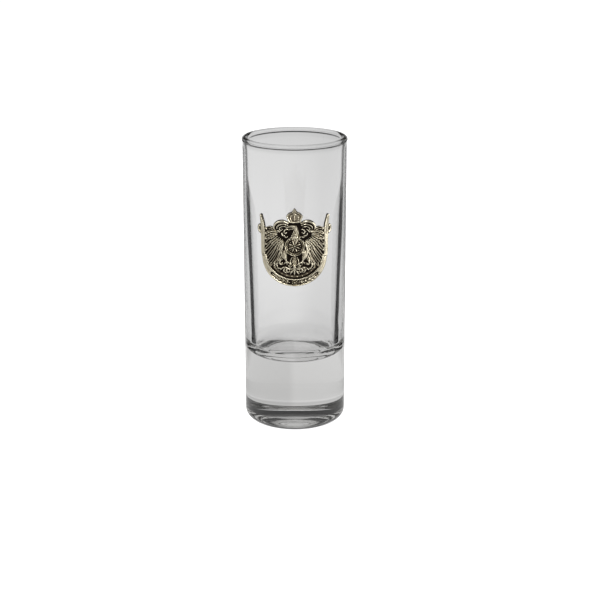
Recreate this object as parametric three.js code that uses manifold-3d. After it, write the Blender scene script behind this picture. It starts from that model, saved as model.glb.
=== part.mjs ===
// A tall shot glass with a cast metal crest badge bonded to its wall.
//
// Millimetres, +Z up. The origin is on the glass's axis, in the plane that the glass stands on,
// and the badge faces -Y. Three separate pieces: the pressed glass, the clear bonding pad and the
// badge casting. Nothing on the object moves.

import * as THREE from 'three';
import { mergeVertices } from 'three/addons/utils/BufferGeometryUtils.js';
import { TessellateModifier } from 'three/addons/modifiers/TessellateModifier.js';
import Module from 'manifold-3d';

const wasm = await Module();
wasm.setup();

// ---------------------------------------------------------------- driving dimensions

// The glass
const glassHeight = 108.4;
const glassRadius = 19;
const facets = 64;          // flat sides round the glass

const heelRadius = 3;       // rounding between the wall and the foot
const puntRadius = 14;      // dome pressed into the underside
const puntDepth = 3;

const rimSwell = 0.25;      // the fire-polished bead stands out this far from the wall
const rimHalf = 1.18;       // half the bead's thickness, which also swells inwards
const rimRise = 1.05;       // from the bead's widest point up to its crest

const floorLevel = 24.2;    // height of the cavity's floor at its middle
const cavityTopRadius = 17.3;
const cavityLowRadius = 15.3;
const cavityCorner = 6.5;   // rounding between the cavity's wall and its floor
const cavityDish = 1.2;     // the floor is this much lower at its middle

// The badge, drawn flat and then bent round the glass. x runs round the wall, y runs up it, and
// (0, 0) is the middle of the ribbon's lower turn.
const padGap = 0.05;        // from the glass to the pad, and from the pad to the badge
const padThickness = 0.15;
const badgeDepth = 1.17;    // full depth of the casting
const badgeDatum = 68.5;    // height of the badge's (0, 0) above the foot

const groundDepth = 0.4;    // the sunken ground between the raised shapes
const wingDepth = 0.85;
const scrollDepth = 0.75;
const crownDepth = 0.95;
const tailDepth = 0.8;

const ribbonHalfWidth = 12.85;
const ribbonDrop = 11.2;    // from the datum down to the lowest point
const ribbonWidth = 2.2;
const bannerWidth = 3.2;    // the ribbon is wider across the bottom
const ribbonTop = 9.4;      // where the upright arms turn into their points
const prongTip = new THREE.Vector2(13.2, 14.6);

const birdHeart = 4.3;      // height of the shield's middle above the datum
const shieldRadius = 3.35;

const bendStep = 2.6;       // longest edge left before the badge is bent
const bendPasses = 24;      // enough halvings for the longest edge to come down to that

// ---------------------------------------------------------------- helpers

/** A closed three.js geometry as a manifold solid. */
function solid(geometry) {
  const bare = geometry.clone();
  bare.deleteAttribute('normal');
  bare.deleteAttribute('uv');
  const welded = mergeVertices(bare, 1e-4);
  return new wasm.Manifold(new wasm.Mesh({
    numProp: 3,
    vertProperties: new Float32Array(welded.attributes.position.array),
    triVerts: new Uint32Array(welded.index.array),
  }));
}

/** A manifold solid as a three.js geometry. */
function geometryOf(manifold) {
  const mesh = manifold.getMesh();
  const geometry = new THREE.BufferGeometry();
  geometry.setAttribute('position', new THREE.BufferAttribute(mesh.vertProperties, 3));
  geometry.setIndex(new THREE.BufferAttribute(mesh.triVerts, 1));
  return geometry;
}

/** A flat outline raised from the back plane to the given depth. */
function raised(shape, depth, curveSegments = 8) {
  return solid(new THREE.ExtrudeGeometry(shape, { depth, bevelEnabled: false, curveSegments }));
}

/** The same outline on the other side of the middle line. */
function mirrored(shape) {
  const points = shape.getPoints(4).map((p) => new THREE.Vector2(-p.x, p.y));
  return new THREE.Shape(points.reverse());
}

/** A long leaf from one point to another, widest part way along it. */
function leaf(from, to, width) {
  const along = to.clone().sub(from);
  const side = new THREE.Vector2(-along.y, along.x).normalize().multiplyScalar(width / 2);
  const belly = from.clone().addScaledVector(along, 0.6);
  const shape = new THREE.Shape();
  shape.moveTo(from.x, from.y);
  shape.quadraticCurveTo(belly.x - 1.6 * side.x, belly.y - 1.6 * side.y, to.x, to.y);
  shape.quadraticCurveTo(belly.x + 1.6 * side.x, belly.y + 1.6 * side.y, from.x, from.y);
  return shape;
}

/** Joins a list of solids into one. */
function joined(solids) {
  return solids.reduce((sum, next) => sum.add(next));
}

/** Wraps a flat piece round the glass: x goes round the wall, y up it and z out from it. */
function bentRound(geometry, backRadius) {
  const bendRadius = glassRadius + badgeDepth;
  const fine = new TessellateModifier(bendStep, bendPasses).modify(geometry.toNonIndexed());
  const bent = mergeVertices(fine, 1e-4);
  const position = bent.attributes.position;
  for (let i = 0; i < position.count; i += 1) {
    const angle = position.getX(i) / bendRadius;
    const radius = backRadius + position.getZ(i);
    position.setXYZ(
      i,
      radius * Math.sin(angle),
      -radius * Math.cos(angle),
      badgeDatum + position.getY(i),
    );
  }
  return bent;
}

// ---------------------------------------------------------------- the glass

/** Half of the glass's section, from the middle of its underside round to the cavity's floor. */
function glassProfile() {
  const rimLevel = glassHeight - rimRise;
  const rimMiddle = glassRadius + rimSwell - rimHalf;
  const outerNotch = Math.acos((glassRadius - rimMiddle) / rimHalf);
  const innerNotch = Math.acos((rimMiddle - cavityTopRadius) / rimHalf);
  const footRadius = glassRadius - heelRadius;
  const cornerCentre = cavityLowRadius - cavityCorner;
  const cornerLevel = floorLevel + cavityDish + cavityCorner;

  const outline = new THREE.Path();
  outline.moveTo(0, puntDepth);
  outline.quadraticCurveTo(puntRadius / 2, puntDepth, puntRadius, 0);
  outline.lineTo(footRadius, 0);
  outline.absarc(footRadius, heelRadius, heelRadius, -Math.PI / 2, 0, false);
  // The bead is drawn in three turns, so that its widest points and its crest are exact. The
  // first turn also draws the straight wall up to the notch under the bead.
  const turns = [-outerNotch, 0, Math.PI, Math.PI + innerNotch];
  for (let i = 1; i < turns.length; i += 1) {
    outline.absellipse(rimMiddle, rimLevel, rimHalf, rimRise, turns[i - 1], turns[i], false);
  }
  outline.lineTo(cavityLowRadius, cornerLevel);
  outline.absarc(cornerCentre, cornerLevel, cavityCorner, 0, -Math.PI / 2, true);
  outline.quadraticCurveTo(cornerCentre / 2, floorLevel, 0, floorLevel);

  const points = outline.getPoints(4);
  return points.filter((p, i) => i === 0 || p.distanceTo(points[i - 1]) > 1e-6);
}

function glassBody() {
  const geometry = new THREE.LatheGeometry(glassProfile(), facets);
  geometry.rotateX(Math.PI / 2);
  return geometry;
}

// ---------------------------------------------------------------- the badge

/** A point on the ribbon's half-elliptical lower turn; the angle starts at its right-hand end. */
function turnPoint(halfWidth, drop, angle) {
  return new THREE.Vector2(halfWidth * Math.cos(angle), -drop * Math.sin(angle));
}

/** The U of the ribbon: two upright arms that end in points, and a wider banner below. */
function ribbonShape() {
  const steps = 18;
  const innerHalf = ribbonHalfWidth - ribbonWidth;
  const innerDrop = ribbonDrop - bannerWidth;
  const outerTurn = [];
  const innerTurn = [];
  for (let i = 0; i <= steps; i += 1) {
    const angle = (Math.PI * i) / steps;
    outerTurn.push(turnPoint(ribbonHalfWidth, ribbonDrop, angle));
    innerTurn.push(turnPoint(innerHalf, innerDrop, angle));
  }
  const tip = prongTip;
  const rightArm = [new THREE.Vector2(innerHalf, ribbonTop), tip,
    new THREE.Vector2(ribbonHalfWidth, ribbonTop)];
  const leftArm = [new THREE.Vector2(-ribbonHalfWidth, ribbonTop), new THREE.Vector2(-tip.x, tip.y),
    new THREE.Vector2(-innerHalf, ribbonTop)];
  return new THREE.Shape([...rightArm, ...outerTurn, ...leftArm, ...innerTurn.reverse()]);
}

/** The sunken plate inside the ribbon, with its two shoulders. */
function groundShape() {
  const half = ribbonHalfWidth - ribbonWidth / 2;
  const shape = new THREE.Shape();
  shape.moveTo(half, 0);
  shape.absellipse(0, 0, half, ribbonDrop - bannerWidth / 2, 0, -Math.PI, true);
  shape.lineTo(-half, 10.2);
  shape.quadraticCurveTo(-9.4, 10.4, -7.4, 9.8);
  shape.quadraticCurveTo(-7.4, 13.6, -2.4, 12.6);
  shape.lineTo(2.4, 12.6);
  shape.quadraticCurveTo(7.4, 13.6, 7.4, 9.8);
  shape.quadraticCurveTo(9.4, 10.4, half, 10.2);
  shape.closePath();
  return shape;
}

/** The small closed crown over the bird's head. */
function crownShape() {
  const shape = new THREE.Shape();
  shape.moveTo(-2.1, 12.2);
  shape.lineTo(2.1, 12.2);
  shape.quadraticCurveTo(2.2, 13.2, 2.85, 14.9);
  shape.quadraticCurveTo(2.2, 16, 0.9, 16.2);
  shape.lineTo(0, 17.45);
  shape.lineTo(-0.9, 16.2);
  shape.quadraticCurveTo(-2.2, 16, -2.85, 14.9);
  shape.quadraticCurveTo(-2.2, 13.2, -2.1, 12.2);
  return shape;
}

/** One shoulder scroll beside the crown. */
function scrollShape() {
  const shape = new THREE.Shape();
  shape.moveTo(2.2, 12.3);
  shape.quadraticCurveTo(4.4, 13.6, 6, 12.6);
  shape.quadraticCurveTo(7.6, 11.4, 7.2, 9.9);
  shape.quadraticCurveTo(6.2, 11.4, 4.6, 11.3);
  shape.quadraticCurveTo(3.2, 11.2, 2.2, 12.3);
  return shape;
}

/** The bird's body, which the wings, head and tail grow from. */
function bodyShape() {
  return new THREE.Shape().absellipse(0, birdHeart + 1.1, 3.3, 3.6, 0, 2 * Math.PI);
}

/** The feathers of the right wing, fanned out from the shoulder. */
function wingShapes() {
  const count = 7;
  const shoulder = new THREE.Vector2(2.2, 7.4);
  const shapes = [];
  for (let i = 0; i < count; i += 1) {
    const share = i / (count - 1);
    const angle = THREE.MathUtils.degToRad(24 - 104 * share);
    const reach = 8.9 + 1.6 * Math.sin(Math.PI * share);
    const tip = new THREE.Vector2(Math.cos(angle), Math.sin(angle)).multiplyScalar(reach);
    shapes.push(leaf(shoulder, tip.add(shoulder), 2));
  }
  return shapes;
}

/** The bird's head and neck, turned to one side. */
function headShape() {
  const shape = new THREE.Shape();
  shape.moveTo(-1.5, 6.5);
  shape.quadraticCurveTo(-1.2, 8.6, -1.5, 9.4);
  shape.lineTo(-3, 8.9);
  shape.quadraticCurveTo(-2.6, 10.4, -1.1, 11);
  shape.quadraticCurveTo(1.2, 11.4, 1.5, 9.2);
  shape.quadraticCurveTo(1.6, 7.6, 2.2, 6.5);
  shape.closePath();
  return shape;
}

/** The tail's leaves, fanned out under the shield. */
function tailShapes() {
  const root = new THREE.Vector2(0, 2.4);
  const spread = [-64, -38, -14, 14, 38, 64];
  return spread.map((degrees) => {
    const angle = THREE.MathUtils.degToRad(degrees - 90);
    const reach = 9.2 - 0.02 * Math.abs(degrees);
    const tip = new THREE.Vector2(Math.cos(angle), Math.sin(angle)).multiplyScalar(reach);
    return leaf(root, tip.add(root), 1.7);
  });
}

/** The small leaf that curls out beside each prong. */
function hookShape() {
  return leaf(new THREE.Vector2(12.6, 8.4), new THREE.Vector2(14.5, 11.6), 1.5);
}

/** Every raised shape of the casting on its ground, still flat. */
function badgeCasting() {
  const pieces = [
    raised(groundShape(), groundDepth),
    raised(ribbonShape(), badgeDepth),
    raised(crownShape(), crownDepth, 4),
    raised(headShape(), wingDepth, 4),
    raised(bodyShape(), wingDepth),
    raised(new THREE.Shape().absarc(0, birdHeart, shieldRadius, 0, 2 * Math.PI), badgeDepth),
  ];
  for (const shape of [scrollShape(), hookShape()]) {
    pieces.push(raised(shape, scrollDepth, 4), raised(mirrored(shape), scrollDepth));
  }
  for (const shape of wingShapes()) {
    pieces.push(raised(shape, wingDepth, 4), raised(mirrored(shape), wingDepth));
  }
  for (const shape of tailShapes()) {
    pieces.push(raised(shape, tailDepth, 4));
  }
  return joined(pieces);
}

function badge() {
  return bentRound(geometryOf(badgeCasting()), glassRadius + padThickness + 2 * padGap);
}

/** The clear pad that bonds the casting to the wall, a little smaller than the casting. */
function adhesivePad() {
  const margin = 1.4;
  const half = ribbonHalfWidth - margin;
  const shape = new THREE.Shape();
  shape.moveTo(half, 0);
  shape.absellipse(0, 0, half, ribbonDrop - margin, 0, -Math.PI, true);
  shape.lineTo(-half, ribbonTop - margin);
  shape.lineTo(half, ribbonTop - margin);
  shape.closePath();
  return bentRound(geometryOf(raised(shape, padThickness)), glassRadius + padGap);
}

// ---------------------------------------------------------------- materials and assembly

const clearGlass = new THREE.MeshStandardMaterial({
  color: 0xe8ecec, roughness: 0.03, metalness: 0, transparent: true, opacity: 0.4,
});
const antiqueMetal = new THREE.MeshStandardMaterial({
  color: 0xb4ae9c, roughness: 0.36, metalness: 0.9,
});
const clearAdhesive = new THREE.MeshStandardMaterial({
  color: 0xdfe3dc, roughness: 0.2, metalness: 0, transparent: true, opacity: 0.5,
});

/** A named mesh, which is one piece of the object. */
function piece(name, geometry, material) {
  const mesh = new THREE.Mesh(geometry, material);
  mesh.name = name;
  return mesh;
}

const shotGlass = new THREE.Group();
shotGlass.add(
  piece('glass_body', glassBody(), clearGlass),
  piece('adhesive_pad', adhesivePad(), clearAdhesive),
  piece('badge', badge(), antiqueMetal),
);

export default shotGlass;
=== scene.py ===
"""Looks for a tall shot glass with a cast metal crest badge on its wall.

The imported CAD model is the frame. This script puts a smooth pressed-glass body, a finely modelled
badge casting and the clear bonding pad in the places of the three CAD solids, gives them their
materials, and sets up a plain white studio round them.

Blender works in metres. The shapes below are worked out in millimetres, and are scaled when their
meshes are made. Only the lamps and the materials are given in metres.
"""

import math

import bpy
import numpy as np
from mathutils import Matrix, Vector
from mathutils import noise as value_noise


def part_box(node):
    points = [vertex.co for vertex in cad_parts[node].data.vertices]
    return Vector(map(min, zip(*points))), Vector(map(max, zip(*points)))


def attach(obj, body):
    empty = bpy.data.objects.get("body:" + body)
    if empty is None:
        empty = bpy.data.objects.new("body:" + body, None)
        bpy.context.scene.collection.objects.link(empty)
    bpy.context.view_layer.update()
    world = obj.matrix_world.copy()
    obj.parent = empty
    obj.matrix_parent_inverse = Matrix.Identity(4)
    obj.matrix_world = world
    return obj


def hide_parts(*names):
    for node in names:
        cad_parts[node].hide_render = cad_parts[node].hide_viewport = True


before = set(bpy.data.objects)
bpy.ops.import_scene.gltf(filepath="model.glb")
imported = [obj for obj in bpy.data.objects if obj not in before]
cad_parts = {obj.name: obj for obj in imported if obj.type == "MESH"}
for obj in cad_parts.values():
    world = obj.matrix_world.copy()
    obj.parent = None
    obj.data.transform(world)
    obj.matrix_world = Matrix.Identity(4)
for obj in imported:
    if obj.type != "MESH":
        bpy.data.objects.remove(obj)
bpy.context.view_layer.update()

MM = 0.001

# ---------------------------------------------------------------- driving dimensions, in mm

glass_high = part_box("glass_body")[1]
GLASS_HEIGHT = glass_high.z / MM
GLASS_RADIUS = 19.0
GLASS_SEGMENTS = 256        # points in each ring of the glass's mesh

HEEL_RADIUS = 3.0           # rounding between the wall and the foot
PUNT_RADIUS = 14.0          # dome pressed into the underside
PUNT_DEPTH = 3.0
RIPPLE_HEIGHT = 0.012       # faint rings left in the dome by the press
RIPPLE_LENGTH = 1.3

RIM_SWELL = 0.25            # the fire-polished bead stands out this far from the wall
RIM_HALF = 1.18             # half the bead's thickness, which also swells inwards
RIM_RISE = 1.05             # from the bead's widest point up to its crest
RIM_BLEND = 0.2             # softness of the notch where the bead meets the wall

FLOOR_LEVEL = 24.2          # height of the cavity's floor at its middle
CAVITY_TOP_RADIUS = 17.3
CAVITY_LOW_RADIUS = 15.3
CAVITY_CORNER = 6.5         # rounding between the cavity's wall and its floor
CAVITY_DISH = 1.2           # the floor rises this much from its middle to that rounding

WAVE_LEVEL = 6              # the cavity's wall is most uneven this far above the floor's middle
WAVE_REACH = 16             # and it is true this far above and below that
WAVES = ((0.09, 5.5), (0.03, 2.1))      # height and length of the broad and the fine waves
WAVE_SQUASH = 0.8           # heights count for this much, so the waves are longer up the wall

BADGE_BACK = 19.25          # radius of the casting's back
BADGE_BEND = 20.17          # radius at which lengths round the badge are true
BADGE_DATUM = 68.5          # height of the badge's (0, 0), the centre of the ribbon's turn
BADGE_CELL = 0.09           # spacing of the relief's mesh
BADGE_KEEP = 0.62           # share of the triangles that is kept after thinning
WALL_LOW = 0.26             # height of the casting's outer side wall
GROUND_TOP = 0.36           # height of the low ground between the raised features
TURN_ACROSS = 11.55         # the banner's middle line is half an oval: from its centre to its ends
TURN_DOWN = 9.75            # and from its centre down to its lowest point
TURN_END = 4                # it ends this many degrees short of the half oval's own ends

PAD_BACK = 19.05            # radius of the glue line's back
PAD_DEPTH = 0.15            # its thickness
PAD_EDGE = 0.08             # and its thickness at the edge
PAD_CELL = 0.3              # spacing of its mesh

# ---------------------------------------------------------------- mesh helpers


def new_object(name, points_mm, faces):
    """A smooth-shaded mesh object from points in millimetres."""
    mesh = bpy.data.meshes.new(name)
    mesh.from_pydata((np.asarray(points_mm) * MM).tolist(), [], faces)
    mesh.validate()
    mesh.update()
    mesh.polygons.foreach_set("use_smooth", [True] * len(mesh.polygons))
    thing = bpy.data.objects.new(name, mesh)
    bpy.context.scene.collection.objects.link(thing)
    return thing


def arc(centre_r, centre_z, radius_r, radius_z, start, end, steps):
    """Points on an elliptical arc in the glass's section; the angles are in degrees."""
    angles = [math.radians(start + (end - start) * i / steps) for i in range(steps + 1)]
    return [(centre_r + radius_r * math.cos(a), centre_z + radius_z * math.sin(a)) for a in angles]


def between(start, end, steps):
    """The points of a straight run, without its first one."""
    (r0, z0), (r1, z1) = start, end
    return [(r0 + (r1 - r0) * i / steps, z0 + (z1 - z0) * i / steps) for i in range(1, steps + 1)]


# ---------------------------------------------------------------- the glass


def punt_points():
    """The underside, from its middle out to the ring that the glass stands on."""
    steps = 28
    points = []
    for i in range(steps + 1):
        share = i / steps
        ripple = RIPPLE_HEIGHT * math.cos(2 * math.pi * PUNT_RADIUS * share / RIPPLE_LENGTH)
        ripple *= 1 - share
        points.append((PUNT_RADIUS * share, PUNT_DEPTH * (1 - share ** 2) + ripple))
    return points


def eased(start, corner, end, steps):
    """The points of a rounded corner, without its first one."""
    points = []
    for i in range(1, steps + 1):
        t = i / steps
        points.append(tuple((1 - t) ** 2 * a + 2 * t * (1 - t) * b + t ** 2 * c
                            for a, b, c in zip(start, corner, end)))
    return points


def rim_points():
    """The round bead on top of the wall, with a soft notch under it outside and inside."""
    middle = GLASS_RADIUS + RIM_SWELL - RIM_HALF
    level = GLASS_HEIGHT - RIM_RISE
    soft = math.degrees(RIM_BLEND / RIM_RISE)
    outer = math.degrees(math.acos((GLASS_RADIUS - middle) / RIM_HALF))
    inner = math.degrees(math.acos((middle - CAVITY_TOP_RADIUS) / RIM_HALF))
    crest = arc(middle, level, RIM_HALF, RIM_RISE, soft - outer, 180 + inner - soft, steps=48)
    outer_notch = (GLASS_RADIUS, level - RIM_RISE * math.sin(math.radians(outer)))
    inner_notch = (CAVITY_TOP_RADIUS, level - RIM_RISE * math.sin(math.radians(inner)))
    below_outer = (GLASS_RADIUS, outer_notch[1] - RIM_BLEND)
    below_inner = (CAVITY_TOP_RADIUS, inner_notch[1] - RIM_BLEND)
    points = [below_outer] + eased(below_outer, outer_notch, crest[0], steps=6)
    return points + crest[1:] + eased(crest[-1], inner_notch, below_inner, steps=6)


def cavity_points(start):
    """The inner wall down to the rounded corner, and the dished floor in to the axis."""
    corner_r = CAVITY_LOW_RADIUS - CAVITY_CORNER
    corner_z = FLOOR_LEVEL + CAVITY_DISH + CAVITY_CORNER
    points = between(start, (CAVITY_LOW_RADIUS, corner_z), steps=44)
    points += arc(corner_r, corner_z, CAVITY_CORNER, CAVITY_CORNER, 0, -90, steps=24)[1:]
    steps = 14
    for i in range(1, steps + 1):
        left = 1 - i / steps
        points.append((corner_r * left, FLOOR_LEVEL + CAVITY_DISH * left ** 2))
    return points


def glass_profile():
    """Half of the glass's section, from the middle of its underside to the cavity's floor."""
    foot = GLASS_RADIUS - HEEL_RADIUS
    rim = rim_points()
    points = punt_points()
    points += between(points[-1], (foot, 0), steps=4)
    points += arc(foot, HEEL_RADIUS, HEEL_RADIUS, HEEL_RADIUS, -90, 0, steps=24)[1:]
    points += between(points[-1], rim[0], steps=50)
    return points + rim[1:] + cavity_points(rim[-1])


def press_wave(radius, angle, level):
    """How far the cavity's wall strays from true, as pressed glass does, most near its floor."""
    nearness = max(0.0, 1 - abs(level - FLOOR_LEVEL - WAVE_LEVEL) / WAVE_REACH)
    place = Vector((radius * math.cos(angle), radius * math.sin(angle), level * WAVE_SQUASH))
    return nearness * sum(height * value_noise.noise(place / length) for height, length in WAVES)


def ring_faces(rings):
    """The faces between each ring of points and the next, fanned where a ring is one point."""
    faces = []
    for lower, upper in zip(rings, rings[1:]):
        for k in range(GLASS_SEGMENTS):
            after = (k + 1) % GLASS_SEGMENTS
            if len(lower) == 1:
                faces.append((lower[0], upper[after], upper[k]))
            elif len(upper) == 1:
                faces.append((lower[k], lower[after], upper[0]))
            else:
                faces.append((lower[k], lower[after], upper[after], upper[k]))
    return faces


def glass_body():
    """The pressed glass as one closed surface of revolution, a little uneven inside."""
    profile = glass_profile()
    cavity_start = len(profile) - len(cavity_points(rim_points()[-1]))
    true_core = 3.0             # within this radius of the axis, the sideways part of it dies away
    points = []
    rings = []
    for index, (radius, level) in enumerate(profile):
        count = 1 if radius < 1e-6 else GLASS_SEGMENTS
        rings.append(list(range(len(points), len(points) + count)))
        for k in range(count):
            angle = 2 * math.pi * k / count
            wave = press_wave(radius, angle, level) if index >= cavity_start else 0.0
            r = radius + wave * min(1.0, radius / true_core)
            points.append((r * math.cos(angle), r * math.sin(angle), level - wave))
    return new_object("glass_pressing", points, ring_faces(rings))


# ---------------------------------------------------------------- relief made of strokes
#
# The badge is drawn flat, in millimetres: x runs round the wall, y runs up it. Each feature is a
# line with a width that changes along it, and it swells up from the ground with its own section.
# The height at a point is the highest feature there, and the outline is where all of them end.
# A sunk feature presses down the features that come before it in the list.

ROUND = "round"             # a round back
EDGED = "edged"             # two raised edges with a groove between them, as on a feather
FLAT = "flat"               # a flat top with a low lip just inside its sloping sides
SUNK = "sunk"               # a flat-bottomed hollow with sloping sides

GROOVE_FLOOR, GROOVE_RISE = 0.32, 0.68      # an edged section's middle, and from there to its edges
GROOVE_HALF = 0.62          # where the groove ends, as a share of the half width
FLAT_SLOPE = 0.22           # width of a flat section's sloping side
FLAT_LEVEL = 0.93           # its flat top, as a share of its height
LIP_RISE, LIP_INSET, LIP_WIDTH = 0.07, 0.3, 0.16
SUNK_SLOPE = 0.18           # width of a hollow's sloping side


def curve(points, steps=6):
    """A smooth line through the given points (Catmull-Rom)."""
    p = np.array(points, float)
    if len(p) < 3:
        return p
    padded = np.vstack([2 * p[0] - p[1], p, 2 * p[-1] - p[-2]])
    line = []
    for a, b, c, d in zip(padded, padded[1:], padded[2:], padded[3:]):
        for t in np.linspace(0, 1, steps, endpoint=False):
            line.append(0.5 * (2 * b + (c - a) * t + (2 * a - 5 * b + 4 * c - d) * t ** 2
                               + (3 * b - a - 3 * c + d) * t ** 3))
    line.append(p[-1])
    return np.array(line)


def feature_along(line, half, top, section=ROUND):
    """A feature along a line, with one half width or one for each of its points."""
    return {"line": line, "half": np.full(len(line), half), "top": top, "section": section}


def stroke(points, widths, top, section=ROUND, steps=6):
    """A feature along a smooth line. Its half widths are spread evenly along it."""
    line = curve(points, steps)
    share = np.linspace(0, 1, len(line))
    half = np.interp(share, np.linspace(0, 1, len(widths)), widths)
    return feature_along(line, half, top, section)


def bead(x, y, radius, top, section=ROUND):
    """A round dot, as a very short stroke."""
    return stroke([(x, y), (x + 0.01, y)], [radius], top, section)


def ring(x, y, radius, half, top, section=ROUND):
    """A circle, with its radius measured to its middle line."""
    angles = np.linspace(0, 2 * math.pi, 49)
    line = np.column_stack([x + radius * np.cos(angles), y + radius * np.sin(angles)])
    return feature_along(line, half, top, section)


def mirrored(feature):
    """The same feature on the other side of the middle line."""
    return dict(feature, line=feature["line"] * np.array([-1, 1]))


def both_sides(features):
    """The features with their mirror images."""
    return features + [mirrored(f) for f in features]


def to_line(x, y, feature):
    """Distance from each point to a feature's line, and the line's half width at that place."""
    line, half = feature["line"], feature["half"]
    nearest = np.full(x.shape, 1e9)
    width = np.zeros(x.shape)
    for (ax, ay), (bx, by), ha, hb in zip(line, line[1:], half, half[1:]):
        dx, dy = bx - ax, by - ay
        along = np.clip(((x - ax) * dx + (y - ay) * dy) / max(dx * dx + dy * dy, 1e-12), 0, 1)
        distance = np.hypot(x - ax - along * dx, y - ay - along * dy)
        here = ha + (hb - ha) * along
        closer = distance - here < nearest - width
        nearest = np.where(closer, distance, nearest)
        width = np.where(closer, here, width)
    return nearest, width


def section_height(feature, distance, width):
    """Height of the feature's section, from 0 at its edge to 1 at its highest."""
    q = np.clip(distance / np.maximum(width, 1e-6), 0, 1)
    if feature["section"] == ROUND:
        return np.sqrt(1 - q ** 2)
    if feature["section"] == EDGED:
        groove = GROOVE_FLOOR + GROOVE_RISE * np.clip(q / GROOVE_HALF, 0, 1) ** 2
        return groove * np.sqrt(1 - q ** 4)
    rise = np.clip((width - distance) / FLAT_SLOPE, 0, 1)
    lip = LIP_RISE * np.exp(-((width - distance - LIP_INSET) / LIP_WIDTH) ** 2)
    return rise * (2 - rise) * FLAT_LEVEL + lip


def relief(features, x, y):
    """Height of the relief at each point, and how far inside the outline the point is."""
    margin = 0.35               # how far past its edge a feature is still measured
    height = np.zeros(x.shape)
    inside = np.full(x.shape, -1.0)
    for feature in features:
        reach = feature["half"].max() + margin
        low = feature["line"].min(axis=0) - reach
        high = feature["line"].max(axis=0) + reach
        near = np.nonzero((x > low[0]) & (x < high[0]) & (y > low[1]) & (y < high[1]))[0]
        if not len(near):
            continue
        distance, width = to_line(x[near], y[near], feature)
        if feature["section"] == SUNK:
            shore = 1 - np.clip((width - distance) / SUNK_SLOPE, 0, 1) ** 2
            height[near] = np.minimum(height[near], feature["top"] + 2 * shore)
            continue
        inside[near] = np.maximum(inside[near], width - distance)
        rise = section_height(feature, distance, width)
        base = min(WALL_LOW, feature["top"])
        level = np.where(distance < width, base + (feature["top"] - base) * rise, 0)
        height[near] = np.maximum(height[near], level)
    return height, inside


def pulled_to_outline(features, x, y, cell):
    """Moves points from just outside the outline onto it, in a few steps down the slope."""
    step = 0.01
    least_slope = 0.3           # squared; it keeps a step short where the slope is unclear
    for _ in range(4):
        here = relief(features, x, y)[1]
        slope_x = (relief(features, x + step, y)[1] - relief(features, x - step, y)[1]) / (2 * step)
        slope_y = (relief(features, x, y + step)[1] - relief(features, x, y - step)[1]) / (2 * step)
        steepness = np.maximum(slope_x ** 2 + slope_y ** 2, least_slope)
        x = x - np.clip(here * slope_x / steepness, -cell, cell)
        y = y - np.clip(here * slope_y / steepness, -cell, cell)
    return x, y


def softened(values, passes):
    """Blurs a grid of values a little."""
    for _ in range(passes):
        padded = np.pad(values, 1, mode="edge")
        values = (padded[:-2, 1:-1] + 2 * padded[1:-1, 1:-1] + padded[2:, 1:-1]) / 4
        padded = np.pad(values, 1, mode="edge")
        values = (padded[1:-1, :-2] + 2 * padded[1:-1, 1:-1] + padded[1:-1, 2:]) / 4
    return values


def bent_round(x, y, z, back_radius):
    """Wraps flat points round the glass."""
    angle = x / BADGE_BEND
    radius = back_radius + z
    return np.column_stack([radius * np.sin(angle), -radius * np.cos(angle), BADGE_DATUM + y])


def grid_over(features, cell):
    """The columns and rows of a square grid that covers the features."""
    low = np.min([f["line"].min(axis=0) - f["half"].max() for f in features], axis=0) - 2 * cell
    high = np.max([f["line"].max(axis=0) + f["half"].max() for f in features], axis=0) + 2 * cell
    return np.arange(low[0], high[0], cell), np.arange(low[1], high[1], cell)


def squares_inside(inside, columns, rows):
    """The grid's squares that reach inside the outline, as the numbers of their corners."""
    number = np.arange(columns * rows).reshape(columns, rows)
    quads = np.stack([number[:-1, :-1], number[1:, :-1], number[1:, 1:], number[:-1, 1:]], -1)
    quads = quads.reshape(-1, 4)
    return quads[(inside[quads] > 0).any(axis=1)]


def closed_faces(front, count):
    """A sheet's faces with a back and sides. The back's points are numbered on from the front's."""
    back = front[:, ::-1] + count
    edges = np.concatenate([np.roll(front, -k, axis=1)[:, :2] for k in range(4)])
    code = edges[:, 0] * count + edges[:, 1]
    reverse = edges[:, 1] * count + edges[:, 0]
    open_edges = edges[~np.isin(code, reverse)]
    sides = np.column_stack([open_edges[:, ::-1], open_edges + count])
    return np.vstack([front, back, sides]).tolist()


def relief_object(name, features, cell, back_radius, keep, least):
    """A closed casting from the features, bent round the glass, with its height grid."""
    xs, ys = grid_over(features, cell)
    gx, gy = (g.ravel() for g in np.meshgrid(xs, ys, indexing="ij"))
    height, inside = relief(features, gx, gy)
    grid = softened(height.reshape(len(xs), len(ys)), 1)
    mesh_height = np.maximum(np.where(inside > 1.5 * cell, grid.ravel(), height), least)

    quads = squares_inside(inside, len(xs), len(ys))
    used = np.unique(quads)
    outside = used[inside[used] <= 0]
    gx[outside], gy[outside] = pulled_to_outline(features, gx[outside], gy[outside], cell)
    mesh_height[outside] = least

    renumber = np.full(len(gx), -1)
    renumber[used] = np.arange(len(used))
    flat_x, flat_y = np.tile(gx[used], 2), np.tile(gy[used], 2)
    flat_z = np.concatenate([mesh_height[used], np.zeros(len(used))])
    points = bent_round(flat_x, flat_y, flat_z, back_radius)
    thing = new_object(name, points, closed_faces(renumber[quads], len(used)))
    if keep < 1:
        thin(thing, keep)
    thing.data.set_sharp_from_angle(angle=math.radians(60))
    return thing, (xs, ys, grid)


def thin(thing, keep):
    """Keeps this share of the triangles, by dropping those that flatter places don't need."""
    modifier = thing.modifiers.new("thin", "DECIMATE")
    modifier.ratio = keep
    graph = bpy.context.evaluated_depsgraph_get()
    mesh = bpy.data.meshes.new_from_object(thing.evaluated_get(graph), depsgraph=graph)
    thing.modifiers.clear()
    thing.data = mesh
    mesh.polygons.foreach_set("use_smooth", [True] * len(mesh.polygons))


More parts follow.
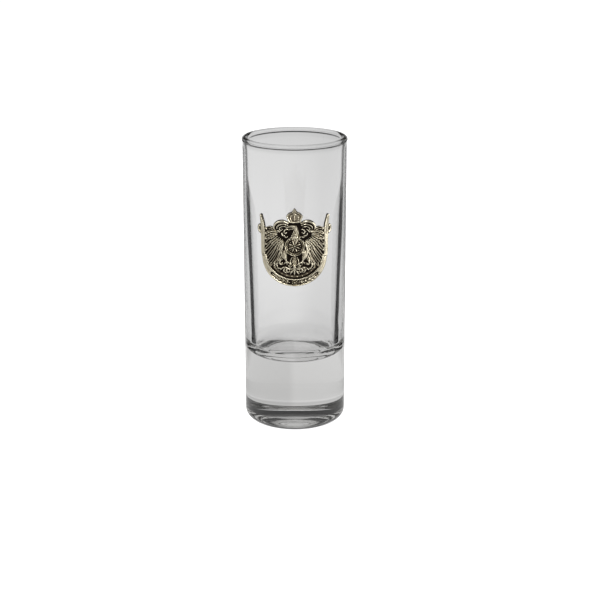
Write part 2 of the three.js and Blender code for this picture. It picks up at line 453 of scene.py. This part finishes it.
# ---------------------------------------------------------------- the badge's features


def hanging_arc(across, down, start, end, count):
    """Points on an oval's lower half, and their angles, which run from its right end to its left."""
    angles = np.linspace(math.radians(start), math.radians(end), count)
    return np.column_stack([across * np.cos(angles), -down * np.sin(angles)]), angles


def ribbon_features():
    """Two upright arms that end in points, with creases and hooks, and the wider banner below.

    A sunk fold crosses each place where an arm meets the banner.
    """
    arm = stroke([(11.8, -1.2), (12.15, 1.0), (12.2, 5.0), (12.2, 8.4), (12.5, 11.5), (13.15, 14.3)],
                 [0.8, 0.84, 0.86, 1.0, 0.8, 0.5], 0.98, FLAT)
    crease = stroke([(12.2, 8.2), (12.5, 11.4), (13.1, 14.0)], [0.3, 0.4, 0.3], 1.14)
    hook = stroke([(13.1, 7.9), (14.0, 8.5), (14.3, 9.6), (14.0, 10.5), (13.5, 10.3)],
                  [0.55, 0.62, 0.55, 0.45, 0.3], 0.88)
    turn, angles = hanging_arc(TURN_ACROSS, TURN_DOWN, TURN_END, 180 - TURN_END, 40)
    full_half, narrowing = 1.45, 0.45
    half = full_half - narrowing * np.abs(np.cos(angles)) ** 6
    banner = feature_along(turn, half, 1.1, FLAT)
    fold = stroke([(10.9, -0.75), (12.0, -0.45), (13.0, -0.55)], [0.2], 0.62, SUNK)
    return both_sides([arm, crease, hook]) + [banner] + both_sides([fold])


def on_banner(share, outwards=0.0):
    """A point on the banner's middle line, or this far outwards of it.

    The share is -1 at the banner's left end, 0 in its middle and 1 at its right end.
    """
    angle = math.radians(90 - (90 - TURN_END) * share)
    return (TURN_ACROSS + outwards) * math.cos(angle), -(TURN_DOWN + outwards) * math.sin(angle)


def leaf_pair(number):
    """Two small leaves, one on each side of the spray's stem. They get smaller along it."""
    share = 0.14 + 0.088 * number
    leaves = []
    for side in (-1, 1):
        root = on_banner(share)
        belly = on_banner(share + 0.022, side * (0.56 - 0.05 * number))
        tip = on_banner(share + 0.085, side * (0.8 - 0.07 * number))
        leaves.append(stroke([root, belly, tip], [0.1, 0.25, 0.22, 0.06], 0.94, steps=4))
    return leaves


def banner_ornament():
    """A sunk panel on the banner, with a small rosette and a spray of leaves on either side."""
    middle = on_banner(0)
    panel = [on_banner(s) for s in np.linspace(-0.54, 0.54, 23)]
    features = [
        stroke(panel, [0.75, 1.0, 1.12, 1.0, 0.75], 0.52, SUNK, steps=1),
        bead(*middle, 0.4, 1.12),
        ring(*middle, 0.78, 0.13, 1.05),
    ]
    stem = [on_banner(s) for s in np.linspace(0.1, 0.5, 9)]
    spray = [stroke(stem, [0.13, 0.12, 0.08], 0.95, steps=2)]
    for number in range(4):
        spray += leaf_pair(number)
    spray.append(bead(*on_banner(0.52), 0.24, 1.12))
    return features + both_sides(spray)


def inner_band():
    """The narrow raised band along the inside of the banner, with small beads on it."""
    line = hanging_arc(9.35, 7.55, 33, 147, 30)[0]
    beads = [bead(x, y, 0.24, 0.82) for x, y in line[1:-1:3]]
    return [feature_along(line, 0.5, 0.6, FLAT)] + beads


def ground_features():
    """The low ground inside the ribbon, as one wide flat stroke for each part of it."""
    wings = stroke([(-9.6, 6.2), (-5, 4.4), (0, 4.2), (5, 4.4), (9.6, 6.2)],
                   [3.6, 5.4, 5.4, 5.4, 3.6], GROUND_TOP, FLAT)
    bowl = stroke([(-6.4, 0.2), (0, -1.9), (6.4, 0.2)], [5.2, 7.0, 5.2], GROUND_TOP, FLAT)
    shoulders = stroke([(-6.0, 10.0), (0, 10.4), (6.0, 10.0)], [2.0, 2.3, 2.0], GROUND_TOP, FLAT)
    return [wings, bowl, shoulders]


def crown_features():
    """The small closed crown: a plate with a raised edge, three ribs, a studded band and beads."""
    plate_top = 0.8
    outline = [(2.05, 12.7), (2.2, 13.6), (2.68, 14.6), (1.95, 15.6), (0.9, 16.1), (0, 17.2)]
    plate = [
        stroke([(-1.2, 13.0), (1.2, 13.0)], [0.9], plate_top, FLAT),
        stroke([(-1.5, 14.4), (1.5, 14.4)], [1.15], plate_top, FLAT),
        stroke([(0, 14.6), (0, 16.7)], [1.3, 0.9, 0.3], plate_top, FLAT),
    ]
    sides = [
        stroke(outline, [0.36, 0.34, 0.36, 0.32, 0.3, 0.34], 1.12),
        stroke([(1.25, 13.2), (1.5, 14.3), (0.85, 15.1), (0, 15.45)], [0.2, 0.24, 0.2, 0.2], 1.0),
        bead(2.62, 14.65, 0.3, 1.17),
    ]
    band = [stroke([(-2.0, 12.75), (0, 12.62), (2.0, 12.75)], [0.3], 1.1, FLAT)]
    studs = [bead(x, 12.68, 0.15, 1.17) for x in (-1.4, -0.7, 0, 0.7, 1.4)]
    middle = [stroke([(0, 13.2), (0, 15.6)], [0.18], 0.98), bead(0, 16.95, 0.34, 1.17)]
    return plate + both_sides(sides) + band + studs + middle


def mantling_features():
    """The scrolls that roll out from under the crown."""
    return both_sides([
        stroke([(2.4, 12.15), (4.1, 12.8), (5.8, 12.6), (7.1, 11.75), (7.8, 10.3)],
               [0.38, 0.48, 0.54, 0.52, 0.36], 0.97),
        stroke([(2.5, 11.4), (4.0, 11.8), (5.5, 11.45), (6.5, 10.6), (6.5, 9.9)],
               [0.24, 0.3, 0.34, 0.32, 0.2], 0.86),
        stroke([(2.9, 10.75), (4.3, 10.95), (5.3, 10.5), (5.5, 9.8), (4.9, 9.5), (4.5, 9.9)],
               [0.16, 0.26, 0.3, 0.28, 0.24, 0.26], 0.84),
        stroke([(2.4, 9.9), (3.3, 9.8), (3.8, 9.0), (3.3, 8.4), (2.8, 8.8)],
               [0.16, 0.3, 0.34, 0.3, 0.3], 0.86),
        stroke([(4.7, 8.6), (4.5, 7.8), (3.7, 7.5), (3.2, 7.0), (2.4, 7.3)],
               [0.2, 0.36, 0.34, 0.34, 0.2], 0.86),
        stroke([(6.1, 9.4), (5.6, 8.9), (5.2, 9.3)], [0.3, 0.34, 0.3], 0.84),
        bead(7.75, 10.1, 0.46, 0.97),
    ])


def head_features():
    """The bird's head and neck, turned to one side, with rows of small feathers on the neck."""
    features = [
        stroke([(0.15, 6.6), (0.5, 8.2), (0.65, 9.6), (0.15, 10.75)], [2.0, 1.35, 0.95, 0.8], 0.74),
        stroke([(-0.3, 10.95), (-1.5, 11.05), (-2.6, 10.7), (-3.2, 9.95)],
               [0.5, 0.44, 0.3, 0.08], 0.95),
        stroke([(-0.5, 10.15), (-1.6, 9.95), (-2.5, 9.45)], [0.32, 0.26, 0.1], 0.82),
        stroke([(-1.5, 10.4), (-2.7, 10.05), (-3.9, 9.6), (-4.4, 9.9)], [0.12, 0.14, 0.13, 0.06], 0.7),
        bead(-0.25, 11.0, 0.2, 1.17),
        stroke([(-0.9, 11.35), (-0.1, 11.5), (0.7, 11.2)], [0.12, 0.16, 0.1], 1.1),
    ]
    for row in range(5):
        y = 7.0 + 0.72 * row
        reach = 1.55 - 0.26 * row
        for column in range(5 - row // 2):
            x = 0.35 + 0.05 * row + reach * (2 * column / (4 - row // 2) - 1)
            features.append(stroke([(x, y + 0.3), (x - 0.05, y - 0.25)], [0.14, 0.22], 1.06))
    return features


def feather(root, tip, bow, half, top):
    """A long double-edged feather that bows to one side and ends in a curled tip."""
    root, tip = np.array(root), np.array(tip)
    along = tip - root
    side = np.array([-along[1], along[0]]) / np.hypot(*along)
    middle = root + 0.55 * along + bow * side
    curl = tip - 0.1 * along - 0.45 * np.sign(bow) * side
    return [
        stroke([root, middle, tip], [0.55 * half, half, 0.95 * half, 0.75 * half], top, EDGED, 8),
        stroke([tip, tip * 0.5 + curl * 0.5 + 0.1 * side, curl], [0.5 * half, 0.4 * half, 0.2], top),
    ]


def at_share(line, share):
    """The point of a line that is this share of the way along its list of points."""
    return line[round(share * (len(line) - 1))]


def wing_features():
    """One wing: ten long feathers fanned out, under four rows of short ones."""
    roots = curve([(7.0, 9.1), (7.6, 8.0), (7.3, 6.9), (6.4, 6.0), (5.3, 5.3), (4.4, 4.6),
                   (3.9, 3.7)], 8)
    tips = curve([(10.9, 9.7), (11.0, 7.6), (11.1, 5.4), (11.2, 3.0), (11.1, 0.4), (10.6, -2.0),
                  (9.3, -3.6), (7.6, -3.4), (6.0, -1.7)], 8)
    features = []
    long_feathers = 10
    for i in range(long_feathers):
        share = i / (long_feathers - 1)
        half = 0.58 + 0.16 * math.sin(math.pi * min(1.0, share * 1.25))
        features += feather(at_share(roots, share), at_share(tips, share), 0.7 - 1.5 * share,
                            half, 0.86 - 0.06 * (i % 2))
    # Each row's number of feathers, its place outwards from the roots, and its size and height.
    rows = [(10, -0.75, 0.3, 1.0), (11, 0.0, 0.36, 1.14), (12, 1.05, 0.4, 1.05), (11, 2.2, 0.36, 0.97)]
    for row, (count, shift, size, top) in enumerate(rows):
        for i in range(count):
            share = (i + 0.3 * row) / count
            root, tip = at_share(roots, share), at_share(tips, share)
            way = (tip - root) / np.hypot(*(tip - root))
            start = root + (shift - 0.35) * way
            features.append(stroke([start, start + 0.8 * way], [0.7 * size, size], top))
    return features


def at_angle(centre, reach, angle):
    """The point this far from the centre, in the direction of this angle."""
    return np.array(centre) + reach * np.array([math.cos(angle), math.sin(angle)])


def shield_features():
    """The round shield: a disc with two rings, an eight-leaved rosette and beads over it."""
    centre = (0.05, 3.75)
    features = [
        bead(*centre, 3.3, 0.52, FLAT),
        ring(*centre, 3.42, 0.25, 1.15),
        ring(*centre, 2.88, 0.14, 0.98),
        bead(*centre, 0.42, 1.12),
    ]
    leaves = 8
    for k in range(leaves):
        angle = math.radians(360 / leaves * (k + 0.5))
        root, tip = at_angle(centre, 0.7, angle), at_angle(centre, 2.3, angle)
        features.append(stroke([root, (root + tip) / 2, tip], [0.16, 0.36, 0.1], 1.0))
        features.append(bead(*at_angle(centre, 2.05, angle + math.pi / leaves), 0.22, 0.92))
    for along in (-1.8, -0.9, 0, 0.9, 1.8):
        features.append(bead(centre[0] + along, 6.5 - 0.1 * along * along, 0.3, 1.17))
    return features


def leg_features():
    """One feathered thigh, with a leg and three claws below it, and three curls outside it."""
    features = [stroke([(3.5, 1.5), (3.9, 0.4), (3.3, -1.0)], [1.0, 1.3, 0.6], 0.86)]
    for i in range(4):
        start = (3.0 + 0.6 * i, 1.5 - 0.1 * i)
        end = (2.8 + 0.42 * i, -0.8 + 0.1 * i)
        features.append(stroke([start, end], [0.2, 0.3, 0.14], 1.08))
    features.append(stroke([(3.4, -1.0), (3.0, -1.7), (2.7, -2.3)], [0.4, 0.32, 0.32], 0.9))
    foot = (2.75, -2.3)
    for tip in ((1.6, -2.9), (2.75, -3.6), (4.0, -3.1)):
        knuckle = (0.5 * (foot[0] + tip[0]), foot[1])
        features.append(stroke([foot, knuckle, tip], [0.32, 0.34, 0.12], 0.95))
    features.append(stroke([(4.5, -1.2), (5.3, -1.9), (5.4, -2.9), (4.7, -3.1), (4.5, -2.5)],
                           [0.16, 0.34, 0.36, 0.3, 0.32], 0.9))
    features.append(stroke([(6.0, -2.6), (6.6, -3.5), (6.0, -4.5)], [0.2, 0.38, 0.14], 0.88))
    features.append(stroke([(7.6, -3.6), (7.2, -4.4), (6.7, -4.9)], [0.14, 0.32, 0.16], 0.86))
    return features


def tail_features():
    """The beaded root of the tail, the three leaves at its end, and the scrolls beside it."""
    features = [
        stroke([(0, -0.7), (0, -1.9), (0, -3.1)], [0.85, 1.2, 0.7], 0.74),
        stroke([(0, -3.6), (0, -5.0)], [0.5, 0.36], 0.98),
        stroke([(0, -5.0), (0, -6.2), (0, -7.0)], [0.24, 0.42, 0.14], 1.0),
    ]
    pitch = 0.56
    for row, count in enumerate((2, 3, 2, 3, 2)):
        y = -0.75 - pitch * row
        for column in range(count):
            features.append(bead(pitch * (column - (count - 1) / 2), y, 0.26, 1.08))
    sides = [
        stroke([(0.9, -0.4), (1.5, -1.6), (1.25, -2.9), (0.5, -3.5)], [0.2, 0.26, 0.24, 0.16], 0.98),
        stroke([(0.2, -4.2), (1.4, -4.7), (2.5, -4.45), (3.4, -4.1), (4.5, -4.4), (5.2, -5.2)],
               [0.36, 0.38, 0.34, 0.34, 0.34, 0.2], 0.96),
        stroke([(1.2, -3.8), (1.9, -4.0), (2.1, -3.4), (1.6, -3.2)], [0.2, 0.3, 0.26, 0.3], 0.86),
        stroke([(2.5, -4.5), (3.0, -5.3), (2.3, -5.9), (1.8, -5.5)], [0.3, 0.38, 0.32, 0.36], 0.9),
        stroke([(0.2, -4.9), (1.0, -5.7), (1.7, -6.75)], [0.26, 0.46, 0.14], 0.98),
        stroke([(3.5, -4.6), (4.0, -5.2), (3.6, -5.9), (3.0, -6.1)], [0.24, 0.36, 0.32, 0.16], 0.84),
        stroke([(5.0, -5.1), (5.5, -4.5), (6.2, -4.9)], [0.2, 0.32, 0.16], 0.86),
    ]
    return features + both_sides(sides)


def badge_casting():
    """The whole badge as one casting. The banner comes before its ornament, which is sunk in it."""
    features = (ground_features() + ribbon_features() + banner_ornament() + inner_band()
                + crown_features() + mantling_features() + head_features()
                + both_sides(wing_features()) + shield_features() + both_sides(leg_features())
                + tail_features())
    return relief_object("crest_badge", features, BADGE_CELL, BADGE_BACK, BADGE_KEEP, WALL_LOW)


def mark_tarnish(thing, grid_data):
    """Stores how dark each point of the casting is: low and shut-in places hold the patina.

    The metal is bare above bare_height, and fully dark where it is lower than that by darkening.
    A shut-in place is dark too, up to sunk_share: it counts as level_tarnish where it is level
    with its surroundings, and as more where it is sunk below them.
    """
    blur_passes = 40
    level_tarnish, sinking, sunk_share = 0.35, 0.22, 0.75
    bare_height, darkening = 0.78, 0.32
    back_height, back_tarnish = 0.02, 0.35
    xs, ys, grid = grid_data
    surroundings = softened(grid, blur_passes)
    points = np.empty(len(thing.data.vertices) * 3)
    thing.data.vertices.foreach_get("co", points)
    px, py, pz = points.reshape(-1, 3).T / MM
    flat_x = np.arctan2(px, -py) * BADGE_BEND
    height = np.hypot(px, py) - BADGE_BACK
    i = np.clip(np.round((flat_x - xs[0]) / BADGE_CELL).astype(int), 0, len(xs) - 1)
    j = np.clip(np.round((pz - BADGE_DATUM - ys[0]) / BADGE_CELL).astype(int), 0, len(ys) - 1)
    sunk = np.clip((surroundings[i, j] - height) / sinking + level_tarnish, 0, 1)
    low = np.clip((bare_height - height) / darkening, 0, 1)
    tarnish = np.where(height < back_height, back_tarnish, np.maximum(low, sunk_share * sunk))
    layer = thing.data.attributes.new("tarnish", "FLOAT", "POINT")
    layer.data.foreach_set("value", tarnish.astype(np.float32))


# ---------------------------------------------------------------- the bonding pad


def adhesive_pad():
    """The clear glue line behind the casting, a little smaller than it, with a soft edge."""
    features = [
        stroke([(-9.4, 2.0), (0, 2.4), (9.4, 2.0)], [2.1, 6.4, 2.1], PAD_DEPTH, FLAT),
        stroke([(-8.6, 5.0), (8.6, 5.0)], [2.4], PAD_DEPTH, FLAT),
        stroke([(-6.6, -1.6), (0, -3.4), (6.6, -1.6)], [3.6, 6.2, 3.6], PAD_DEPTH, FLAT),
    ]
    return relief_object("bonding_pad", features, PAD_CELL, PAD_BACK, 1, PAD_EDGE)[0]


# ---------------------------------------------------------------- material helpers


def new_material(name):
    """A new material with its node tree and its Principled shader."""
    material = bpy.data.materials.new(name)
    material.use_nodes = True
    tree = material.node_tree
    return material, tree, tree.nodes["Principled BSDF"]


def own_place(tree):
    """Coordinates that stay with the object."""
    return tree.nodes.new("ShaderNodeTexCoord").outputs["Object"]


def stretched(tree, place, scale):
    """The same coordinates, each multiplied by its own scale."""
    mapping = tree.nodes.new("ShaderNodeMapping")
    mapping.inputs["Scale"].default_value = scale
    tree.links.new(place, mapping.inputs["Vector"])
    return mapping.outputs["Vector"]


def noise(tree, place, scale, detail=3.0, roughness=0.5):
    """Noise with about this many lumps to the metre."""
    node = tree.nodes.new("ShaderNodeTexNoise")
    node.inputs["Scale"].default_value = scale
    node.inputs["Detail"].default_value = detail
    node.inputs["Roughness"].default_value = roughness
    tree.links.new(place, node.inputs["Vector"])
    return node.outputs["Fac"]


def spread(tree, source, low, high, to_low=0.0, to_high=1.0, smooth=False):
    """Maps low to to_low and high to to_high, and holds those two values past the ends."""
    node = tree.nodes.new("ShaderNodeMapRange")
    if smooth:
        node.interpolation_type = "SMOOTHSTEP"
    for socket, value in zip(node.inputs[1:5], (low, high, to_low, to_high)):
        socket.default_value = value
    tree.links.new(source, node.inputs["Value"])
    return node.outputs["Result"]


def calculated(tree, operation, a, b=0.0):
    """One step of arithmetic on numbers or on the outputs of other nodes."""
    node = tree.nodes.new("ShaderNodeMath")
    node.operation = operation
    for socket, value in zip(node.inputs, (a, b)):
        if isinstance(value, (int, float)):
            socket.default_value = value
        else:
            tree.links.new(value, socket)
    return node.outputs["Value"]


def ramp(tree, source, stops):
    """A colour ramp with stops of (place, colour)."""
    node = tree.nodes.new("ShaderNodeValToRGB")
    elements = node.color_ramp.elements
    elements.remove(elements[-1])
    elements[0].position, elements[0].color = stops[0][0], (*stops[0][1], 1)
    for position, colour in stops[1:]:
        elements.new(position).color = (*colour, 1)
    tree.links.new(source, node.inputs["Fac"])
    return node.outputs["Color"]


def mixed(tree, share, first, second):
    """A mix of two shaders: the first where the share is 0, the second where it is 1."""
    mix = tree.nodes.new("ShaderNodeMixShader")
    tree.links.new(share, mix.inputs["Fac"])
    tree.links.new(first, mix.inputs[1])
    tree.links.new(second, mix.inputs[2])
    return mix.outputs[0]


def bump(tree, shader, height, strength, distance):
    """Gives a shader fine unevenness. The distance is in metres, as Blender measures it."""
    node = tree.nodes.new("ShaderNodeBump")
    node.inputs["Strength"].default_value = strength
    node.inputs["Distance"].default_value = distance
    tree.links.new(height, node.inputs["Height"])
    tree.links.new(node.outputs["Normal"], shader.inputs["Normal"])


# ---------------------------------------------------------------- materials


def pressed_glass():
    """Clear pressed glass: faint waves from the mould, and the slight grey of a thick piece."""
    material, tree, shader = new_material("pressed_glass")
    shader.inputs["Base Color"].default_value = (1, 1, 1, 1)
    shader.inputs["Transmission Weight"].default_value = 1
    shader.inputs["IOR"].default_value = 1.52
    place = own_place(tree)
    waves = noise(tree, stretched(tree, place, (1, 1, 0.35)), 90, 2)
    bump(tree, shader, waves, 0.25, 0.00005)
    smears = noise(tree, place, 160, 4, 0.6)
    tree.links.new(spread(tree, smears, 0.5, 0.8, 0.0, 0.02), shader.inputs["Roughness"])
    depth = tree.nodes.new("ShaderNodeVolumeAbsorption")
    depth.inputs["Color"].default_value = (0.52, 0.51, 0.48, 1)
    depth.inputs["Density"].default_value = 9.5
    tree.links.new(depth.outputs["Volume"], tree.nodes["Material Output"].inputs["Volume"])
    return material


def antique_metal():
    """Pale warm plating, polished on the high places and dark with patina in the low ones."""
    material, tree, shader = new_material("antique_metal")
    shader.inputs["Metallic"].default_value = 1
    place = own_place(tree)
    attribute = tree.nodes.new("ShaderNodeAttribute")
    attribute.attribute_name = "tarnish"
    blotches = spread(tree, noise(tree, place, 420, 4, 0.6), 0.3, 0.7, -0.16, 0.16)
    tarnish = calculated(tree, "ADD", attribute.outputs["Fac"], blotches)
    colour = ramp(tree, tarnish, [
        (0.0, (0.64, 0.59, 0.46)),
        (0.25, (0.47, 0.42, 0.31)),
        (0.5, (0.16, 0.13, 0.09)),
        (0.85, (0.016, 0.012, 0.009)),
    ])
    tree.links.new(colour, shader.inputs["Base Color"])
    grain = noise(tree, place, 2600, 4, 0.65)
    worn = spread(tree, tarnish, 0.1, 0.9, 0.24, 0.62)
    speckle = spread(tree, grain, 0.3, 0.7, -0.05, 0.05)
    tree.links.new(calculated(tree, "ADD", worn, speckle), shader.inputs["Roughness"])
    bump(tree, shader, grain, 0.35, 0.00002)
    return material


def clear_adhesive():
    """Cured clear adhesive, slightly cloudy, with tiny bubbles under its surface."""
    material, tree, shader = new_material("clear_adhesive")
    shader.inputs["Transmission Weight"].default_value = 1
    shader.inputs["IOR"].default_value = 1.48
    place = own_place(tree)
    cloud = noise(tree, place, 300, 4)
    tree.links.new(ramp(tree, cloud, [(0.35, (0.93, 0.93, 0.90)), (0.7, (0.99, 0.99, 0.97))]),
                   shader.inputs["Base Color"])
    tree.links.new(spread(tree, cloud, 0.3, 0.7, 0.12, 0.3), shader.inputs["Roughness"])
    bubbles = tree.nodes.new("ShaderNodeTexVoronoi")
    bubbles.inputs["Scale"].default_value = 900
    tree.links.new(place, bubbles.inputs["Vector"])
    bump(tree, shader, spread(tree, bubbles.outputs["Distance"], 0.0, 0.3), 0.3, 0.00004)
    return material


# ---------------------------------------------------------------- the studio

# Brightness of the surroundings as the glass and the metal see them, by elevation in degrees.
SURROUNDINGS = [(-90, 0.66), (-40, 0.62), (-23, 0.66), (-21, 0.73), (-18, 0.79), (-13, 0.73),
                (-11, 0.63), (-7, 0.58), (0, 0.66), (8.5, 0.66), (10.5, 0.04), (42, 0.04),
                (55, 0.10), (66, 0.56), (90, 0.56)]
SHADED_SIDE = 0.89          # how much of that is left on the right-hand side of the room
ROOM_WHITE = 1.12           # what the camera and matt surfaces see

CARD_BEHIND = 4.5           # how far behind the glass's axis the cards stand, in mm
CARD_NEAR, CARD_FAR = 20.5, 76              # how far out to the sides they reach
CARD_LOW, CARD_HIGH = 12, 114
CARD_STEP_OUT = 2.6         # their inner edges step out this far towards the foot
CARD_NARROWING = 45         # and their outer edges come in this far towards the rim


def shaded_room(tree):
    """The surroundings that the glass and the metal pick up, as a background shader."""
    place = tree.nodes.new("ShaderNodeTexCoord")
    split = tree.nodes.new("ShaderNodeSeparateXYZ")
    tree.links.new(place.outputs["Generated"], split.inputs[0])
    elevation = calculated(tree, "ARCSINE", split.outputs["Z"])
    share = spread(tree, elevation, -math.pi / 2, math.pi / 2)
    shade = ramp(tree, share, [((e + 90) / 180, (v, v, v)) for e, v in SURROUNDINGS])
    to_right = spread(tree, split.outputs["X"], -0.03, 0.1, 1.0, SHADED_SIDE, True)
    room = tree.nodes.new("ShaderNodeBackground")
    tree.links.new(shade, room.inputs["Color"])
    tree.links.new(to_right, room.inputs["Strength"])
    return room.outputs[0]


def white_room():
    """A white room for the camera and the table, and a shaded one for the glass and the metal."""
    world = bpy.data.worlds.new("white_room")
    world.use_nodes = True
    tree = world.node_tree
    tree.nodes.clear()
    plain = tree.nodes.new("ShaderNodeBackground")
    plain.inputs["Color"].default_value = (1, 1, 1, 1)
    plain.inputs["Strength"].default_value = ROOM_WHITE
    path = tree.nodes.new("ShaderNodeLightPath")
    matt = calculated(tree, "MAXIMUM", path.outputs["Is Camera Ray"], path.outputs["Is Diffuse Ray"])
    output = tree.nodes.new("ShaderNodeOutputWorld")
    tree.links.new(mixed(tree, matt, shaded_room(tree), plain.outputs[0]), output.inputs["Surface"])
    bpy.context.scene.world = world


def stage_object(name, points_mm, faces, material):
    """Something that belongs to the studio and not to the object."""
    thing = new_object(name, points_mm, faces)
    thing.data.materials.append(material)
    return thing


def floor():
    """A plain white table top. The glass and the metal pick up the room's lower half instead."""
    material, _, shader = new_material("white_table")
    shader.inputs["Base Color"].default_value = (0.93, 0.93, 0.93, 1)
    shader.inputs["Roughness"].default_value = 0.9
    shader.inputs["Specular IOR Level"].default_value = 0
    half = 3000                 # mm; its edge is lost in the white of the room
    corners = [(-half, -half, 0), (half, -half, 0), (half, half, 0), (-half, half, 0)]
    table = stage_object("table", corners, [(0, 1, 2, 3)], material)
    table.visible_transmission = False
    table.visible_glossy = False


def card_fade(tree, source, clear, black):
    """Fades the card in or out between two places, in millimetres."""
    low, high = sorted((clear, black))
    at_low, at_high = (0, 1) if clear < black else (1, 0)
    return spread(tree, source, low * MM, high * MM, at_low, at_high, True)


def card_material():
    """Black card with soft edges, seen only in light turned back inside one wall.

    The glass's dark edge lines are such light. It has gone in and out of the glass once.
    What shines straight through the glass passes the card by.
    """
    material = bpy.data.materials.new("black_card")
    material.use_nodes = True
    tree = material.node_tree
    tree.nodes.clear()
    split = tree.nodes.new("ShaderNodeSeparateXYZ")
    tree.links.new(own_place(tree), split.inputs[0])
    across, up = calculated(tree, "ABSOLUTE", split.outputs["X"]), split.outputs["Z"]
    # The step is whole below 45 mm and gone above 75. The narrowing grows from 55 mm to 92.
    step_out = spread(tree, up, 45 * MM, 75 * MM, CARD_STEP_OUT * MM, 0, True)
    narrowing = spread(tree, up, 55 * MM, 92 * MM, 0, CARD_NARROWING * MM, True)
    path = tree.nodes.new("ShaderNodeLightPath")
    fades = [
        card_fade(tree, calculated(tree, "SUBTRACT", across, step_out), clear=22, black=24.2),
        card_fade(tree, calculated(tree, "ADD", across, narrowing), clear=74, black=70),
        card_fade(tree, up, clear=14, black=22),
        card_fade(tree, up, clear=112, black=104),
        calculated(tree, "GREATER_THAN", path.outputs["Glossy Depth"], 0.5),
        calculated(tree, "LESS_THAN", path.outputs["Transmission Depth"], 2.5),
    ]
    solid = fades[0]
    for fade in fades[1:]:
        solid = calculated(tree, "MULTIPLY", solid, fade)
    clear = tree.nodes.new("ShaderNodeBsdfTransparent")
    black = tree.nodes.new("ShaderNodeEmission")
    black.inputs["Color"].default_value = (0.004, 0.004, 0.004, 1)
    output = tree.nodes.new("ShaderNodeOutputMaterial")
    tree.links.new(mixed(tree, solid, clear.outputs[0], black.outputs[0]), output.inputs["Surface"])
    return material


def black_cards():
    """A black card on each side, a little behind the glass's axis, for its dark edge lines."""
    material = card_material()
    outline = [(CARD_NEAR, CARD_LOW), (CARD_FAR, CARD_LOW),
               (CARD_FAR, CARD_HIGH), (CARD_NEAR, CARD_HIGH)]
    for name, side in (("card_left", -1), ("card_right", 1)):
        corners = [(side * across, CARD_BEHIND, up) for across, up in outline]
        card = stage_object(name, corners, [(0, 1, 2, 3)], material)
        card.visible_camera = False
        card.visible_shadow = False
        card.visible_diffuse = False


def lamp(name, place, size, power, seen_by_gloss, target=(0, 0, 0.06)):
    """A square soft light, aimed at the target. Places and sizes are in metres."""
    light = bpy.data.lights.new(name, "AREA")
    light.size = size
    light.energy = power
    thing = bpy.data.objects.new(name, light)
    bpy.context.scene.collection.objects.link(thing)
    thing.location = place
    thing.rotation_euler = (Vector(target) - Vector(place)).to_track_quat("-Z", "Y").to_euler()
    thing.visible_transmission = False
    thing.visible_glossy = seen_by_gloss
    return thing


def badge_lights(badge):
    """Soft lights that fall on the badge alone, so that the glass shows no hard window shapes."""
    only_badge = bpy.data.collections.new("badge_only")
    only_badge.objects.link(badge)
    for name, place, size, power in (
        ("badge_key", (0.6, -0.26, 0.1), 0.3, 1.95),
        ("badge_fill", (-0.45, -0.45, 0.2), 0.3, 1.0),
        ("badge_top", (0.1, -0.4, 0.55), 0.25, 1.8),
    ):
        light = lamp(name, place, size, power, seen_by_gloss=True, target=(0, -0.02, 0.07))
        light.light_linking.receiver_collection = only_badge


def camera():
    """A long lens a little above the glass, level side to side."""
    pitch = math.radians(17.84)
    distance, right_shift, up_shift = 481, 1.955, -8.03     # in mm
    forward = Vector((0, math.cos(pitch), -math.sin(pitch)))
    right = Vector((1, 0, 0))
    up = right.cross(forward)
    middle = Vector((0, 0, GLASS_HEIGHT / 2))
    place = (middle - distance * forward + right_shift * right + up_shift * up) * MM
    data = bpy.data.cameras.new("camera")
    data.sensor_width = 36
    data.lens = 76.8
    data.clip_start = 0.01
    thing = bpy.data.objects.new("camera", data)
    bpy.context.scene.collection.objects.link(thing)
    turn = Matrix((right, up, -forward)).transposed().to_4x4()
    thing.matrix_world = Matrix.Translation(place) @ turn
    bpy.context.scene.camera = thing


def light_paths():
    """Enough bounces for light to cross the glass's four walls, and true whites."""
    scene = bpy.context.scene
    scene.view_settings.view_transform = "Standard"
    scene.cycles.max_bounces = 24
    scene.cycles.transmission_bounces = 24
    scene.cycles.glossy_bounces = 16
    scene.cycles.caustics_reflective = False
    scene.cycles.caustics_refractive = False


# ---------------------------------------------------------------- assembly


def dress(piece, node, material):
    """Puts a finished piece in the place of its CAD node."""
    piece.data.materials.append(material)
    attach(piece, "root")
    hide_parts(node)


light_paths()
camera()
white_room()
floor()
black_cards()
lamp("key", (-0.5, -0.6, 0.9), size=0.6, power=9, seen_by_gloss=False)
lamp("fill", (0.6, -0.3, 0.8), size=0.6, power=5, seen_by_gloss=False)

glass = glass_body()
glass.visible_diffuse = False    # as in a light tent, the glass leaves the table white
dress(glass, "glass_body", pressed_glass())
badge, relief_grid = badge_casting()
mark_tarnish(badge, relief_grid)
dress(badge, "badge", antique_metal())
badge_lights(badge)
dress(adhesive_pad(), "adhesive_pad", clear_adhesive())
